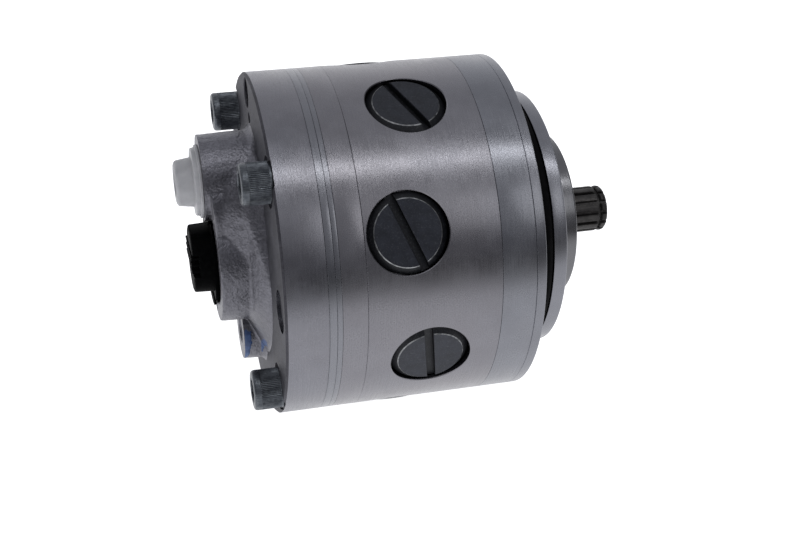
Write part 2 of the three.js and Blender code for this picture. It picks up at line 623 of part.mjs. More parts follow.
for (const [end, bearing] of [["front", FRONT_BEARING], ["rear", REAR_BEARING]]) {
  const { x, bore, innerR, rollerR, trackR, outerR } = bearing;
  const inner = solid(ring(bore + 0.1, innerR, ...x));
  const rollers = makeRollerSet(ROLLERS_PER_BEARING, rollerR, (innerR + trackR) / 2, ...x);
  const outer = solid(ring(trackR, outerR, ...x, LARGE));
  add(`${end}_bearing_inner`, inner, GROUND_STEEL);
  add(`${end}_bearing_rollers`, rollers, GROUND_STEEL);
  add(`${end}_bearing_outer`, outer, GROUND_STEEL);
}

// These ride on the eccentric, which points up at rest.
const onEccentric = station(0, 0, THROW);
add("eccentric_rollers", makeRollerSet(16, 1.45, 19.7, -66, -43), GROUND_STEEL, onEccentric);
add("slide_ring", makeSlideRing(), GROUND_STEEL, onEccentric);
const [retainerInnerR, retainerOuterR] = [32.3, 34.2];
add("rear_slipper_retainer", solid(ring(retainerInnerR, retainerOuterR, -68, -63.5, LARGE)), BRONZE,
  onEccentric);
add("front_slipper_retainer", solid(ring(retainerInnerR, retainerOuterR, -45.5, -41, LARGE)), BRONZE,
  onEccentric);

// The floating washer's axis is halfway between the shaft's and the eccentric's.
add("floating_thrust_washer", solid(ring(17, 21, -41.4, -40.2)), BRONZE, station(0, 0, THROW / 2));

for (const { number, x, angle } of CYLINDERS) {
  const stroke = THROW * Math.cos(THREE.MathUtils.degToRad(angle));
  const drive = station(x, angle, stroke);
  add(`piston_${number}`, makePiston(), GROUND_STEEL, drive);
  add(`slipper_${number}`, makeSlipper(), BRONZE, drive);

  const closure = station(x, angle);
  closure.rotation.z = THREE.MathUtils.degToRad(-SLOT_TURNS[number - 1]);
  add(`cylinder_plug_${number}`, makeCylinderPlug(), PLUG_STEEL, closure);
}

SCREW_ANGLES.forEach((angle, index) =>
  add(`cap_screw_${index + 1}`, makeCapScrew(), SCREW_STEEL, station(0, angle, BOLT_CIRCLE_R)));
DOWEL_ANGLES.forEach((angle, index) =>
  add(`dowel_${index + 1}`, solid(rod(DOWEL_R, ...DOWEL_ENDS_X, TINY)), GROUND_STEEL,
    station(0, angle, BOLT_CIRCLE_R)));

add("upper_port_plug", makeUpperPortPlug(), WHITE_PLASTIC);
add("centre_port_plug", makeCentrePortPlug(), BLACK_PLASTIC);

export default motor;
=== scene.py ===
"""Looks of the radial-piston hydraulic motor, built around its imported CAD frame.

The shaft turns about X and leaves the body at +X, Z is up, and angles around the shaft start at +Z
and grow towards -Y. Shapes are written in millimetres and become metres when a mesh is made.
"""

import json
import math

import bmesh
import bpy
import numpy as np
from mathutils import Matrix, Vector


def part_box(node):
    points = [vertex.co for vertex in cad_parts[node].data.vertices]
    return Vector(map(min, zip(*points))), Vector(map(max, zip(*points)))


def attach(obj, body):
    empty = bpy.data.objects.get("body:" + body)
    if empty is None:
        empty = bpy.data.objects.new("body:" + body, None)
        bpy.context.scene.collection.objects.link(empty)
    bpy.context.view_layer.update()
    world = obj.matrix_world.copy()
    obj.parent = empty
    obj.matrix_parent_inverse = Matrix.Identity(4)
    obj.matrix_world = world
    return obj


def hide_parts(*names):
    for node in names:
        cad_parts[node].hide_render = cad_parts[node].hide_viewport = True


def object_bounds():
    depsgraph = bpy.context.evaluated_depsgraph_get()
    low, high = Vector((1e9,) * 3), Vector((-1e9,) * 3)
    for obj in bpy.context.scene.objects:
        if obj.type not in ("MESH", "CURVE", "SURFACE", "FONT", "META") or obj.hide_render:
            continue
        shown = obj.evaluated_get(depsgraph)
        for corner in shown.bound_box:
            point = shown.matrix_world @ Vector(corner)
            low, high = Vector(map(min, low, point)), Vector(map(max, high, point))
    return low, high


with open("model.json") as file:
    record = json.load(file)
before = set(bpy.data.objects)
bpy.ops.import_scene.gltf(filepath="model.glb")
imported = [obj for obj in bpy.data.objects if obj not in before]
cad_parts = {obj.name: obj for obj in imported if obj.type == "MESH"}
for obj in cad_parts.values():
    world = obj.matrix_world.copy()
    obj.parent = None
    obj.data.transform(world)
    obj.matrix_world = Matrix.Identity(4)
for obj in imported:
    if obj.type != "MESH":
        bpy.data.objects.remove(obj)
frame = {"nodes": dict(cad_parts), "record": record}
cad_low, cad_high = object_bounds()

MM = 0.001
HOUSING = "housing_body"


def span(node):
    """A CAD node's extent along the shaft, in millimetres."""
    low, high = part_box(node)
    return low.x / MM, high.x / MM


def outer_radius(node):
    """A CAD node's largest distance from the shaft axis, in millimetres, from its box."""
    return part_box(node)[1].z / MM


# ---------------------------------------------------------------- dimensions, in millimetres and degrees

BODY_R = outer_radius("housing")
HOUSING_X = span("housing")
FLANGE_X = span("front_flange")
COVER_FRONT_X = span("channel_plate")[0]
CARRIER_X = span("seal_carrier")
SHAFT_FRONT_X = span("crankshaft")[1]

MOUNTING_FACE_X = 0.0
PILOT_R = 60.0
COVER_REAR_X = -112.9
CASTING_FOOT_X = COVER_REAR_X + 0.2
CASTING_BASE_X = COVER_REAR_X + 3.0
BOLT_CIRCLE_R = 69.0
SCREW_ANGLES = (45, 135, 225, 315)
SOCKET_TURN_STEP = 17
TAPPED_ANGLES = (0, 90, 180, 270)

PORTS = {
    "upper": {"z": 34.8, "boss_r": 19.2, "face_x": -136.8, "hole_r": 12.9, "depth": 14},
    "centre": {"z": -4.0, "boss_r": 30.0, "face_x": -132.0, "hole_r": 15.6, "depth": 11},
    "drain": {"z": -43.0, "boss_r": 14.0, "face_x": -123.2, "hole_r": 6.5, "depth": 13},
}

PLUG_HOLE_R = 17.66
PLUG_FACE_R = 14.6
PLUG_FACE = 77.5
ECCENTRICITY = 4
CYLINDER_COUNT = 8
CYLINDER_STEP = 360 / CYLINDER_COUNT
REAR_RING_X, FRONT_RING_X = -59.2, -49.5
SLOT_TURNS = (35, 68, 68, 82, 20, 121, 152, 8)
CYLINDERS = [
    {
        "number": index + 1,
        "x": REAR_RING_X if index % 2 == 0 else FRONT_RING_X,
        "angle": (index - 0.5) * CYLINDER_STEP,
        "slot_turn": SLOT_TURNS[index],
    }
    for index in range(CYLINDER_COUNT)
]


# ---------------------------------------------------------------- mesh helpers


def link(name, mesh):
    piece = bpy.data.objects.new(name, mesh)
    bpy.context.scene.collection.objects.link(piece)
    return piece


def mesh_from(name, points, faces, merge=True):
    """A mesh from points in millimetres, with its faces turned outwards and doubles merged if asked."""
    mesh = bpy.data.meshes.new(name)
    mesh.from_pydata([tuple(p) for p in np.asarray(points, float) * MM], [], faces)
    work = bmesh.new()
    work.from_mesh(mesh)
    if merge:
        bmesh.ops.remove_doubles(work, verts=work.verts, dist=1e-7)
    bmesh.ops.recalc_face_normals(work, faces=work.faces)
    work.to_mesh(mesh)
    work.free()
    return mesh


def shade(piece, sharp_degrees=32):
    """Smooth shading that stops at edges sharper than the given angle."""
    piece.data.shade_smooth()
    piece.data.set_sharp_from_angle(angle=math.radians(sharp_degrees))
    return piece


def eased(outline, steps=4):
    """An outline whose corners are rounded. A corner is (x, radius) or (x, radius, size)."""
    points = []
    count = len(outline)
    for i, corner in enumerate(outline):
        here = np.array(corner[:2], float)
        size = corner[2] if len(corner) > 2 else 0
        if not size:
            points.append(tuple(here))
            continue
        before = np.array(outline[i - 1][:2], float)
        after = np.array(outline[(i + 1) % count][:2], float)
        start = here + (before - here) / np.linalg.norm(before - here) * size
        end = here + (after - here) / np.linalg.norm(after - here) * size
        for k in range(steps + 1):
            t = k / steps
            points.append(tuple((1 - t) ** 2 * start + 2 * t * (1 - t) * here + t * t * end))
    return points


def turned(name, outline, segments=192, steps=4, wobble=None):
    """A piece turned about X from a closed outline, or one that starts and ends on the axis.

    wobble(x, radius, angle) may give a changed radius, for knurls, threads and splines.
    """
    ring = eased(outline, steps)
    points, rows = [], []
    for x, radius in ring:
        if radius < 1e-6:
            rows.append([len(points)] * segments)
            points.append((x, 0, 0))
            continue
        row = []
        for j in range(segments):
            angle = 2 * math.pi * j / segments
            r = wobble(x, radius, angle) if wobble else radius
            row.append(len(points))
            points.append((x, -r * math.sin(angle), r * math.cos(angle)))
        rows.append(row)
    on_axis = ring[0][1] < 1e-6
    pairs = list(zip(rows, rows[1:])) + ([] if on_axis else [(rows[-1], rows[0])])
    faces = []
    for low, high in pairs:
        for j in range(segments):
            k = (j + 1) % segments
            corners = [low[j], low[k], high[k], high[j]]
            distinct = list(dict.fromkeys(corners))
            if len(distinct) > 2:
                faces.append(distinct)
    return link(name, mesh_from(name, points, faces, merge=False))


def apply_modifiers(piece):
    graph = bpy.context.evaluated_depsgraph_get()
    mesh = bpy.data.meshes.new_from_object(piece.evaluated_get(graph))
    piece.modifiers.clear()
    piece.data = mesh
    return piece


def combine(piece, others, operation="DIFFERENCE", solver="EXACT"):
    """Cuts the others from the piece, or joins them to it, and removes them."""
    for other in others:
        change = piece.modifiers.new("change", "BOOLEAN")
        change.operation = operation
        change.solver = solver
        change.object = other
    apply_modifiers(piece)
    for other in others:
        bpy.data.objects.remove(other)
    return piece


def rod(radius, x0, x1, segments=96, chamfer=0.0):
    """A round bar along X. As a cutter that starts 1 mm outside a face, it can chamfer the hole's mouth."""
    mouth_end = [(x0, radius)]
    if chamfer:
        forward = 1.0 if x1 > x0 else -1.0
        mouth = x0 + forward
        mouth_end = [(x0, radius + chamfer), (mouth, radius + chamfer), (mouth + forward * chamfer, radius)]
    return turned("cutter", [(x0, 0), *mouth_end, (x1, radius), (x1, 0)], segments)


def block(x_range, y_range, z_range):
    """A box-shaped cutter or rib."""
    points = [(x, y, z) for x in x_range for y in y_range for z in z_range]
    faces = [[0, 1, 3, 2], [4, 6, 7, 5], [0, 4, 5, 1], [2, 3, 7, 6], [0, 2, 6, 4], [1, 5, 7, 3]]
    return link("block", mesh_from("block", points, faces, merge=False))


def moved(piece, x=0.0, y=0.0, z=0.0):
    piece.data.transform(Matrix.Translation(Vector((x, y, z)) * MM))
    return piece


def around(piece, distance, angle):
    """Moves a piece out from the shaft axis along +Z, then around the shaft."""
    turn = Matrix.Rotation(math.radians(angle), 4, "X")
    piece.data.transform(turn @ Matrix.Translation((0, 0, distance * MM)))
    return piece


def outwards(x, angle):
    """Where a shape turned about X points out from the shaft instead, at that station."""
    turn = Matrix.Rotation(math.radians(angle), 4, "X")
    stand = Matrix.Rotation(-math.pi / 2, 4, "Y")
    return turn @ Matrix.Translation((x * MM, 0, 0)) @ stand


def joined(name, parts):
    """One mesh from several pieces, without any boolean."""
    work = bmesh.new()
    for part in parts:
        work.from_mesh(part.data)
    mesh = bpy.data.meshes.new(name)
    work.to_mesh(mesh)
    work.free()
    for part in parts:
        bpy.data.objects.remove(part)
    return link(name, mesh)


# ---------------------------------------------------------------- materials


class Recipe:
    """A material's node tree, with short calls for the nodes that the finishes share."""

    def __init__(self, name):
        self.material = bpy.data.materials.new(name)
        self.material.use_nodes = True
        self.tree = self.material.node_tree
        self.shader = self.tree.nodes["Principled BSDF"]
        self.place = self.add("ShaderNodeTexCoord").outputs["Object"]

    def add(self, kind, **settings):
        node = self.tree.nodes.new(kind)
        for key, value in settings.items():
            if key in node.inputs:
                node.inputs[key].default_value = value
            else:
                setattr(node, key, value)
        return node

    def wire(self, source, target):
        self.tree.links.new(source, target)

    def stretch(self, scale):
        node = self.add("ShaderNodeMapping")
        node.inputs["Scale"].default_value = scale
        self.wire(self.place, node.inputs["Vector"])
        return node.outputs["Vector"]

    def noise(self, scale, detail=4.0, roughness=0.55, vector=None, distortion=0.0):
        node = self.add(
            "ShaderNodeTexNoise", Scale=scale, Detail=detail, Roughness=roughness, Distortion=distortion
        )
        self.wire(vector or self.place, node.inputs["Vector"])
        return node.outputs["Fac"]

    def cells(self, scale):
        node = self.add("ShaderNodeTexVoronoi", Scale=scale)
        self.wire(self.place, node.inputs["Vector"])
        return node.outputs["Distance"]

    def spread(self, fac, low, high, from_low=0.0, from_high=1.0):
        """Maps from_low..from_high to low..high, and keeps within them."""
        node = self.add("ShaderNodeMapRange")
        for key, value in zip(("From Min", "From Max", "To Min", "To Max"),
                              (from_low, from_high, low, high)):
            node.inputs[key].default_value = value
        self.wire(fac, node.inputs["Value"])
        return node.outputs["Result"]

    def maths(self, operation, a, b):
        node = self.add("ShaderNodeMath", operation=operation)
        for socket, value in zip(node.inputs, (a, b)):
            if isinstance(value, (int, float)):
                socket.default_value = value
            else:
                self.wire(value, socket)
        return node.outputs[0]

    def blend(self, fac, a, b):
        node = self.add("ShaderNodeMix", data_type="RGBA")
        for key, value in (("Factor", fac), ("A", a), ("B", b)):
            sockets = [s for s in node.inputs if s.name == key and s.enabled]
            if isinstance(value, (int, float)):
                sockets[0].default_value = value
            elif isinstance(value, tuple):
                sockets[0].default_value = (*value, 1.0)
            else:
                self.wire(value, sockets[0])
        return next(s for s in node.outputs if s.enabled)

    def relief(self, height, distance, below=None):
        """A bump this many metres high, on top of the bump below it."""
        node = self.add("ShaderNodeBump", Distance=distance, Strength=1.0)
        self.wire(height, node.inputs["Height"])
        if below:
            self.wire(below, node.inputs["Normal"])
        return node.outputs["Normal"]

    def set(self, **sockets):
        for key, value in sockets.items():
            socket = self.shader.inputs[key.replace("_", " ")]
            if isinstance(value, tuple):
                socket.default_value = (*value, 1.0)
            elif isinstance(value, (int, float)):
                socket.default_value = value
            else:
                self.wire(value, socket)
        return self.material

    def grain(self, axis):
        """Brushing that runs around an axis."""
        node = self.add("ShaderNodeTangent", direction_type="RADIAL", axis=axis)
        self.wire(node.outputs["Tangent"], self.shader.inputs["Tangent"])


def times(tint, factor):
    return tuple(c * factor for c in tint)


def machined_steel(name, tint, roughness, lines=1.0, blotch=1.0):
    """Turned or ground steel: fine rings around X, cloudy patches and small specks."""
    r = Recipe(name)
    rings = r.noise(2600, 3, 0.7, r.stretch((1.0, 0.02, 0.02)))
    cloud = r.noise(55, 5, 0.6)
    patch = r.noise(16, 3, 0.5, distortion=0.6)
    speck = r.noise(2400, 2, 0.6)
    darker, lighter = times(tint, 1 - 0.10 * blotch), times(tint, 1 + 0.10 * blotch)
    warmer = (tint[0] * 1.06, tint[1] * 0.99, tint[2] * 0.93)
    tone = r.blend(r.spread(cloud, 0, 1, 0.3, 0.7), darker, lighter)
    tone = r.blend(r.spread(patch, 0, 0.35, 0.35, 0.7), tone, warmer)
    tone = r.blend(r.spread(speck, 0, 0.35, 0.3, 0.7), tone, times(tint, 0.72))
    cloudy = r.spread(cloud, -0.05, 0.06, 0.3, 0.7)
    dull = r.maths("ADD", cloudy, r.spread(rings, -0.05, 0.05, 0.3, 0.7))
    dull = r.maths("ADD", dull, r.spread(speck, roughness - 0.04, roughness + 0.05, 0.3, 0.7))
    relief = r.relief(rings, 0.00001 * lines)
    relief = r.relief(speck, 0.000012, below=relief)
    r.grain("X")
    return r.set(Base_Color=tone, Metallic=1.0, Roughness=dull, Anisotropic=0.35, Normal=relief)


def cast_metal(name, tint):
    """Sand-cast surface: sharp grains, shallow dimples and darker hollows."""
    r = Recipe(name)
    grain = r.noise(850, 4, 0.6)
    dimple = r.cells(1000)
    cloud = r.noise(70, 5, 0.6)
    tone = r.blend(r.spread(cloud, 0, 1, 0.3, 0.7), times(tint, 0.8), times(tint, 1.15))
    tone = r.blend(r.spread(grain, 0.6, 0, 0.35, 0.6), tone, times(tint, 0.5))
    relief = r.relief(dimple, 0.00010)
    relief = r.relief(grain, 0.00022, below=relief)
    dull = r.spread(grain, 0.3, 0.46)
    return r.set(Base_Color=tone, Metallic=0.97, Roughness=dull, Normal=relief)


def dull_face(name, tint):
    """The cover's rear face: a coarse surface, dull and darker than the turned rim."""
    r = Recipe(name)
    cloud = r.noise(60, 5, 0.65, distortion=0.5)
    fleck = r.noise(900, 4, 0.7)
    grit = r.noise(1500, 3, 0.7)
    tone = r.blend(r.spread(cloud, 0, 1, 0.35, 0.65), times(tint, 0.7), times(tint, 1.3))
    tone = r.blend(r.spread(fleck, 0.6, 0, 0.3, 0.55), tone, times(tint, 0.4))
    relief = r.relief(fleck, 0.00012, below=r.relief(grit, 0.00004))
    return r.set(Base_Color=tone, Metallic=0.9, Roughness=r.spread(cloud, 0.5, 0.7), Normal=relief)


def black_oxide(name, tint):
    """Blackened plug steel: brushed, with rubbed patches and dust."""
    r = Recipe(name)
    rub = r.noise(240, 5, 0.65)
    dust = r.noise(1500, 3, 0.6)
    tone = r.blend(r.spread(rub, 0, 1, 0.35, 0.7), times(tint, 0.8), times(tint, 1.35))
    tone = r.blend(r.spread(dust, 0, 0.25, 0.55, 0.75), tone, (0.16, 0.17, 0.18))
    dull, relief = r.spread(rub, 0.34, 0.52), r.relief(dust, 0.00002)
    r.grain("Z")
    return r.set(Base_Color=tone, Metallic=0.55, Roughness=dull, Anisotropic=0.2, Normal=relief)


def worn_edge(name):
    """Bare metal that shows where a blackened edge has rubbed."""
    r = Recipe(name)
    rub = r.noise(500, 4, 0.6)
    tone = r.blend(r.spread(rub, 0, 1, 0.3, 0.65), (0.07, 0.075, 0.08), (0.42, 0.43, 0.44))
    return r.set(Base_Color=tone, Metallic=0.9, Roughness=r.spread(rub, 0.3, 0.5))


def screw_metal(name):
    """Blue-grey dry finish, dark with pale streaks where residue dried in the knurl."""
    r = Recipe(name)
    rub = r.noise(420, 5, 0.65)
    dust = r.noise(1500, 4, 0.7, r.stretch((0.22, 1.0, 1.0)))
    tone = r.blend(r.spread(rub, 0, 1, 0.3, 0.7), (0.050, 0.057, 0.068), (0.135, 0.147, 0.165))
    tone = r.blend(r.spread(dust, 0, 0.4, 0.5, 0.72), tone, (0.36, 0.385, 0.40))
    dull, relief = r.spread(rub, 0.26, 0.42), r.relief(dust, 0.00003)
    return r.set(Base_Color=tone, Metallic=0.85, Roughness=dull, Normal=relief)


def dark_shaft(name):
    """Hardened, oiled shaft steel."""
    r = Recipe(name)
    rub = r.noise(300, 5, 0.6)
    draw = r.noise(1800, 3, 0.6, r.stretch((0.05, 1.0, 1.0)))
    tone = r.blend(r.spread(rub, 0, 1, 0.3, 0.7), (0.018, 0.017, 0.017), (0.06, 0.057, 0.056))
    dull, relief = r.spread(draw, 0.28, 0.5, 0.3, 0.7), r.relief(draw, 0.00003)
    return r.set(Base_Color=tone, Metallic=0.7, Roughness=dull, Normal=relief)


def rubber(name):
    """Nearly black nitrile rubber with a dull bloom."""
    r = Recipe(name)
    bloom = r.noise(260, 4, 0.6)
    tone = r.blend(r.spread(bloom, 0, 1, 0.3, 0.7), (0.0015, 0.0015, 0.0018), (0.004, 0.004, 0.0045))
    dull, relief = r.spread(bloom, 0.5, 0.7), r.relief(r.noise(1800), 0.00003)
    return r.set(Base_Color=tone, Roughness=dull, Specular_IOR_Level=0.04, Normal=relief)


def bronze(name):
    """Turned bearing bronze with fine rings around X."""
    r = Recipe(name)
    cloud = r.noise(120, 5, 0.6)
    rings = r.noise(1800, 3, 0.6, r.stretch((1.0, 0.05, 0.05)))
    tone = r.blend(r.spread(cloud, 0, 1, 0.3, 0.7), (0.36, 0.22, 0.09), (0.56, 0.38, 0.17))
    dull, relief = r.spread(rings, 0.24, 0.42), r.relief(rings, 0.00002)
    return r.set(Base_Color=tone, Metallic=1.0, Roughness=dull, Normal=relief)


def natural_plastic(name):
    """Milky translucent polyethylene, slightly cloudy and scuffed."""
    r = Recipe(name)
    cloud = r.noise(90, 4, 0.6)
    scuff = r.noise(700, 4, 0.6)
    tone = r.blend(r.spread(cloud, 0, 1, 0.3, 0.7), (0.30, 0.303, 0.32), (0.44, 0.443, 0.46))
    dull, relief = r.spread(scuff, 0.28, 0.45), r.relief(scuff, 0.00004)
    r.shader.inputs["Subsurface Radius"].default_value = (1.0, 1.0, 1.0)
    r.set(Subsurface_Weight=0.5, Subsurface_Scale=0.003, Specular_IOR_Level=0.45)
    return r.set(Base_Color=tone, Roughness=dull, Normal=relief)


def black_plastic(name):
    """Moulded black plastic, slightly scuffed."""
    r = Recipe(name)
    scuff = r.noise(600, 4, 0.6)
    black, worn = (0.0015, 0.0016, 0.0018), (0.0035, 0.0038, 0.004)
    tone = r.blend(r.spread(scuff, 0, 1, 0.4, 0.75), black, worn)
    dull, relief = r.spread(scuff, 0.35, 0.55), r.relief(scuff, 0.00003)
    return r.set(Base_Color=tone, Roughness=dull, Specular_IOR_Level=0.008, Normal=relief)


def blue_paint(name):
    """Marking paint, thin at its edges."""
    r = Recipe(name)
    brush = r.noise(500, 4, 0.6, r.stretch((0.3, 1.0, 1.0)))
    tone = r.blend(r.spread(brush, 0, 1, 0.3, 0.7), (0.028, 0.055, 0.15), (0.06, 0.12, 0.28))
    dull, relief = r.spread(brush, 0.4, 0.6), r.relief(brush, 0.00004)
    return r.set(Base_Color=tone, Roughness=dull, Normal=relief)


def pale_floor(name):
    """A faintly cloudy pale floor that glows enough to look white."""
    r = Recipe(name)
    cloud = r.noise(3, 3, 0.5)
    tone = r.blend(cloud, (0.86, 0.86, 0.87), (0.90, 0.90, 0.905))
    return r.set(Base_Color=tone, Roughness=0.8, Emission_Color=tone, Emission_Strength=1.1)


STEEL = machined_steel("ground_steel", (0.252, 0.250, 0.275), roughness=0.25, lines=0.6)
COOL_STEEL = machined_steel("turned_steel", (0.254, 0.261, 0.290), roughness=0.24, lines=0.7)
CARRIER_STEEL = machined_steel("carrier_steel", (0.185, 0.188, 0.200), roughness=0.22)
FACE_STEEL = machined_steel("faced_steel", (0.244, 0.246, 0.275), roughness=0.27, blotch=1.4)
BEARING_STEEL = machined_steel("bearing_steel", (0.58, 0.58, 0.59), roughness=0.22)
SPRING_STEEL = machined_steel("spring_steel", (0.16, 0.16, 0.17), roughness=0.35)
CAST = cast_metal("cast_iron", (0.198, 0.198, 0.224))
COVER_FACE = dull_face("dull_cover_face", (0.090, 0.090, 0.104))
PLUG = black_oxide("plug_oxide", (0.021, 0.0235, 0.032))
# A darker copy of the plug oxide: painted shade on the plug's chamfer ring, sides and slot.
PLUG_PAINTED_SHADE = black_oxide("plug_oxide_painted_shade", (0.010, 0.011, 0.014))
EDGE = worn_edge("worn_edge")
SCREW = screw_metal("screw_finish")
SHAFT = dark_shaft("shaft_steel")
RUBBER = rubber("nitrile_rubber")
BRONZE = bronze("turned_bronze")
WHITE = natural_plastic("natural_plastic")
BLACK = black_plastic("black_plastic")
BLUE = blue_paint("marking_paint")
FLOOR = pale_floor("pale_floor")


def finish(piece, body, slot, nodes, *materials):
    """Gives a piece its materials and its body, and hides the CAD nodes it stands for. The record slot
    argument is not used.
    """
    piece.data.materials.clear()
    for material in materials:
        piece.data.materials.append(material)
    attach(piece, body)
    if nodes:
        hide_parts(*nodes)
    return piece


# ---------------------------------------------------------------- housing


def ported_barrel():
    """The housing's outside, in eight columns that each hold one plug's pocket.

    Each column is a fan from the pocket's round mouth to the column's edges, so the mouth stays
    truly round and the neighbours meet point to point.
    """
    rear, front = HOUSING_X
    lip, seam = 0.35, 0.22
    across, along, fan = 34, 46, 9
    inner_r, floor = 62.0, 66.0
    points, faces = [], []

    def put(x, turn, radius):
        points.append((x, -radius * math.sin(turn), radius * math.cos(turn)))
        return len(points) - 1

    def put_local(cylinder, t, radius, height):
        side = radius * math.sin(t)
        turn = math.radians(cylinder["angle"])
        x = cylinder["x"] + radius * math.cos(t)
        y = -height * math.sin(turn) - side * math.cos(turn)
        z = height * math.cos(turn) - side * math.sin(turn)
        points.append((x, y, z))
        return len(points) - 1

    low_x, high_x = rear + seam, front - seam
    xs = np.linspace(low_x, high_x, along + 1)
    turns = np.radians(np.linspace(-CYLINDER_STEP / 2, CYLINDER_STEP / 2, across + 1))
    edge = [(x, turns[0]) for x in xs[:-1]] + [(high_x, t) for t in turns[:-1]]
    edge += [(x, turns[-1]) for x in xs[:0:-1]] + [(low_x, t) for t in turns[:0:-1]]
    count = len(edge)
    for cylinder in CYLINDERS:
        centre = math.radians(cylinder["angle"])
        loops = []
        spokes = [math.atan2(BODY_R * t, x - cylinder["x"]) for x, t in edge]
        mouth_r = PLUG_HOLE_R + lip
        mouth = [(cylinder["x"] + mouth_r * math.cos(s), math.asin(mouth_r * math.sin(s) / BODY_R))
                 for s in spokes]
        for k in range(fan + 1):
            share = (k / fan) ** 1.3
            loops.append([put(m[0] + (e[0] - m[0]) * share, centre + m[1] + (e[1] - m[1]) * share, BODY_R)
                          for m, e in zip(mouth, edge)])
        rim = []
        for s in spokes:
            skin_height = math.sqrt(BODY_R**2 - (PLUG_HOLE_R * math.sin(s)) ** 2)
            rim.append(put_local(cylinder, s, PLUG_HOLE_R, skin_height - lip))
        seat = [put_local(cylinder, s, PLUG_HOLE_R, floor) for s in spokes]
        hub = put_local(cylinder, 0, 0, floor)
        for inner, outer in [(seat, rim), (rim, loops[0]), *zip(loops, loops[1:])]:
            for j in range(count):
                k = (j + 1) % count
                faces.append([inner[j], outer[j], outer[k], inner[k]])
        faces += [[hub, seat[j], seat[(j + 1) % count]] for j in range(count)]
        for a, b in zip(turns, turns[1:]):
            stations = [(low_x, BODY_R), (rear, BODY_R - seam), (rear, inner_r), (front, inner_r),
                        (front, BODY_R - seam), (high_x, BODY_R)]
            strip = [(put(x, centre + a, r), put(x, centre + b, r)) for x, r in stations]
            for (p, q), (s, t) in zip(strip, strip[1:]):
                faces.append([p, q, t, s])
    barrel = link("housing_shell", mesh_from("housing_shell", points, faces))
    shade(barrel, 25)
    true_normals(barrel)
    return barrel


def true_normals(barrel):
    """Gives the round skin the normals of a true cylinder, so reflections run straight across it."""
    mesh = barrel.data
    normals = np.zeros(len(mesh.loops) * 3, np.float32)
    mesh.corner_normals.foreach_get("vector", normals)
    normals = normals.reshape(-1, 3)
    places = np.zeros(len(mesh.vertices) * 3, np.float32)
    mesh.vertices.foreach_get("co", places)
    places = places.reshape(-1, 3)
    radii = np.hypot(places[:, 1], places[:, 2])
    on_skin = radii > (BODY_R - 0.03) * MM
    for face in mesh.polygons:
        if all(on_skin[v] for v in face.vertices):
            for loop in face.loop_indices:
                y, z = places[mesh.loops[loop].vertex_index][1:]
                normals[loop] = (0, y / math.hypot(y, z), z / math.hypot(y, z))
    mesh.normals_split_custom_set([tuple(n) for n in normals])


finish(ported_barrel(), HOUSING, "housing_steel", ["housing"], STEEL)


# ---------------------------------------------------------------- plates


def plate(node, inner_r, seam):
    """A ground ring whose broken edges make the dark seams between the plates."""
    rear, front = span(node)
    outline = [(rear, inner_r), (rear, BODY_R, seam), (front, BODY_R, seam), (front, inner_r)]
    return shade(turned(f"{node}_ring", outline, 256, steps=3))


for node, inner_r, seam, steel in (
    ("bearing_plate", 22.2, 0.25, STEEL),
    ("distributor_plate", 10.5, 0.3, COOL_STEEL),
    ("channel_plate", 9.0, 0.3, COOL_STEEL),
):
    finish(plate(node, inner_r, seam), HOUSING, "housing_steel", [node], steel)


# ---------------------------------------------------------------- front end


def flange():
    """Mounting flange: a fine line near its face, the grooved pilot and four tapped holes."""
    rear, front = FLANGE_X
    face = MOUNTING_FACE_X
    bearing_r, bearing_x = 27.2, -1.7
    seat_r, seat_x, bore_r = 31.0, 8.0, 21.0
    groove_r, groove_rear, groove_front = PILOT_R - 3.4, 4.5, 10.2
    tap_r, tap_depth = 4.25, 12.0
    body = turned("front_flange_body", [
        (rear, bearing_r), (rear, BODY_R, 0.25),
        (-4.5, BODY_R), (-4.3, BODY_R - 0.25), (-4.1, BODY_R),
        (face, BODY_R, 0.5), (face, PILOT_R + 0.6), (0.4, PILOT_R),
        (groove_rear, PILOT_R, 0.3), (groove_rear, groove_r, 0.3),
        (groove_front, groove_r, 0.3), (groove_front, PILOT_R, 0.3),
        (front, PILOT_R, 0.9), (front, seat_r, 0.3), (seat_x, seat_r),
        (seat_x, bore_r), (bearing_x, bore_r), (bearing_x, bearing_r),
    ], 256, steps=3)
    holes = [around(rod(tap_r, face + 1.0, face - tap_depth, 64, chamfer=0.6), BOLT_CIRCLE_R, angle)
             for angle in TAPPED_ANGLES]
    return shade(combine(body, holes))


def seal_carrier():
    """Stepped boss in front of the pilot, bored for the shaft seal and its circlip."""
    rear, front = CARRIER_X
    spigot_r, head_x, head_r = 30.7, 16.7, 38.4
    shaft_r, seal_r, seal_x = 13.2, 18.5, 12
    groove_r, groove_rear, groove_front = 19.8, 22, 23.6
    return shade(turned("seal_carrier_body", [
        (rear, shaft_r), (rear, spigot_r), (head_x, spigot_r), (head_x, head_r, 0.3), (front, head_r, 0.8),
        (front, seal_r + 0.4), (front - 0.4, seal_r), (groove_front, seal_r), (groove_front, groove_r),
        (groove_rear, groove_r), (groove_rear, seal_r), (seal_x, seal_r), (seal_x, shaft_r),
    ], 192))


def lip_seal():
    """Shaft seal with a folded lip, a garter-spring bulge and a dished face."""
    return shade(turned("shaft_seal_lip", [
        (14, 12.9), (14, 18.2, 0.4), (21.4, 18.2, 0.5), (21.4, 16.9, 0.4), (17.2, 16.2, 0.8),
        (16.6, 14.9, 0.8), (19.4, 14.6, 0.7), (21.2, 13.9, 0.4), (21.0, 12.7, 0.2), (17.5, 12.6, 0.2),
    ], 160))


